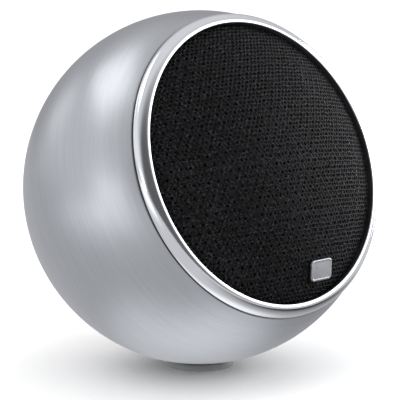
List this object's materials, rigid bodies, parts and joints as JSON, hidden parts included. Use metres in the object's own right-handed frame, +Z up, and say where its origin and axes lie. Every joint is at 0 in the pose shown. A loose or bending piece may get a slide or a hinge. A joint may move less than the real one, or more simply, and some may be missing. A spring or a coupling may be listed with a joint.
{
  "type": "ball desktop speaker",
  "caption": "Ball-shaped desktop loudspeaker: brushed steel ball, polished trim ring, domed cloth grille, full-range driver, screw terminals and a dished foot pad.",
  "frame": {"origin": "centre of the foot pad's underside, where the speaker stands on the desk", "axes": "+Z up, -Y to the front (the grille faces -Y and 20 degrees up), +X to the listener's right"},
  "size_m": [0.1018, 0.101, 0.1031],
  "materials": {
    "ball_steel": "fine brushed steel, brushed round the driver's axis",
    "trim_ring": "turned and polished",
    "badge_metal": "satin, blank",
    "grille_cloth": "black open-weave speaker cloth",
    "black_metal": "black paint, semi-matte",
    "black_plastic": "fine moulded texture",
    "red_plastic": "glossy moulded",
    "rubber": "black rubber",
    "silicone": "pale silicone",
    "zinc_steel": "zinc plated",
    "ferrite": "sintered ferrite",
    "cone_paper": "pressed paper",
    "surround_foam": "foam",
    "spider_cloth": "impregnated cloth",
    "copper": "enamelled copper",
    "film": "polyimide film",
    "gold_plate": "gold plated",
    "wadding": "polyester wadding",
    "phenolic": "phenolic board"
  },
  "bodies": {
    "foot": {"foot_pad": "silicone"},
    "ball": {"housing_shell": "ball_steel", "front_ring": "trim_ring", "mounting_ring": "zinc_steel", "driver_basket": "black_metal", "driver_gasket": "rubber", "front_plate": "zinc_steel", "magnet": "ferrite", "pole_yoke": "zinc_steel", "surround": "surround_foam", "spider": "spider_cloth", "tinsel_pos": "copper", "tinsel_neg": "copper", "tag_strip": "phenolic", "strip_tag_pos": "gold_plate", "strip_tag_neg": "gold_plate", "lead_pos": "red_plastic", "lead_neg": "black_plastic", "damping_wadding": "wadding", "rear_gasket": "rubber", "rear_plate": "black_plastic", "bracket_insert": "gold_plate", "post_stud_pos": "gold_plate", "post_stud_neg": "gold_plate", "post_base_pos": "red_plastic", "post_base_neg": "black_plastic", "post_nut_pos": "zinc_steel", "post_nut_neg": "zinc_steel", "post_tag_pos": "gold_plate", "post_tag_neg": "gold_plate", "front_screw_1": "zinc_steel", "front_screw_2": "zinc_steel", "front_screw_3": "zinc_steel", "front_screw_4": "zinc_steel", "rear_screw_1": "zinc_steel", "grille_socket_1": "rubber", "rear_screw_2": "zinc_steel", "grille_socket_2": "rubber", "rear_screw_3": "zinc_steel", "grille_socket_3": "rubber"},
    "grille": {"grille_rim": "black_plastic", "grille_screen": "black_metal", "grille_cloth": "grille_cloth", "badge": "badge_metal"},
    "cone_unit": {"cone": "cone_paper", "dust_cap": "cone_paper", "coil_former": "film", "voice_coil": "copper"},
    "washer_pos": {"post_washer_pos": "gold_plate"},
    "washer_neg": {"post_washer_neg": "gold_plate"},
    "cap_pos": {"post_cap_pos": "red_plastic"},
    "cap_neg": {"post_cap_neg": "black_plastic"}
  },
  "joints": [
    {"name": "ball_tilt", "type": "hinge", "parent": "foot", "child": "ball", "pos_m": [0, 0, 0.0522], "axis": [-1, 0, 0], "range_deg": [-25, 28]},
    {"name": "grille_pull", "type": "slide", "parent": "ball", "child": "grille", "axis": [0, -0.9397, 0.342], "range_m": [0, 0.03]},
    {"name": "cone_travel", "type": "slide", "parent": "ball", "child": "cone_unit", "axis": [0, -0.9397, 0.342], "range_m": [-0.0025, 0.0025], "stiffness_N_per_m": 1000, "deforming": ["surround", "spider", "tinsel_pos", "tinsel_neg"]},
    {"name": "pos_washer_slide", "type": "slide", "parent": "ball", "child": "washer_pos", "axis": [0, 0.9397, -0.342], "range_m": [0, 0.0021]},
    {"name": "pos_cap_spin", "type": "hinge", "parent": "washer_pos", "child": "cap_pos", "pos_m": [0.00953, 0.04529, 0.03572], "axis": [0, 0.9397, -0.342], "range_deg": [0, 1081]},
    {"name": "neg_washer_slide", "type": "slide", "parent": "ball", "child": "washer_neg", "axis": [0, 0.9397, -0.342], "range_m": [0, 0.0021]},
    {"name": "neg_cap_spin", "type": "hinge", "parent": "washer_neg", "child": "cap_neg", "pos_m": [-0.00953, 0.04529, 0.03572], "axis": [0, 0.9397, -0.342], "range_deg": [0, 1081]}
  ],
  "couplings": [
    {"joint": "pos_cap_spin", "follows": "pos_washer_slide", "rad_per_m": 8976},
    {"joint": "neg_cap_spin", "follows": "neg_washer_slide", "rad_per_m": 8976}
  ]
}
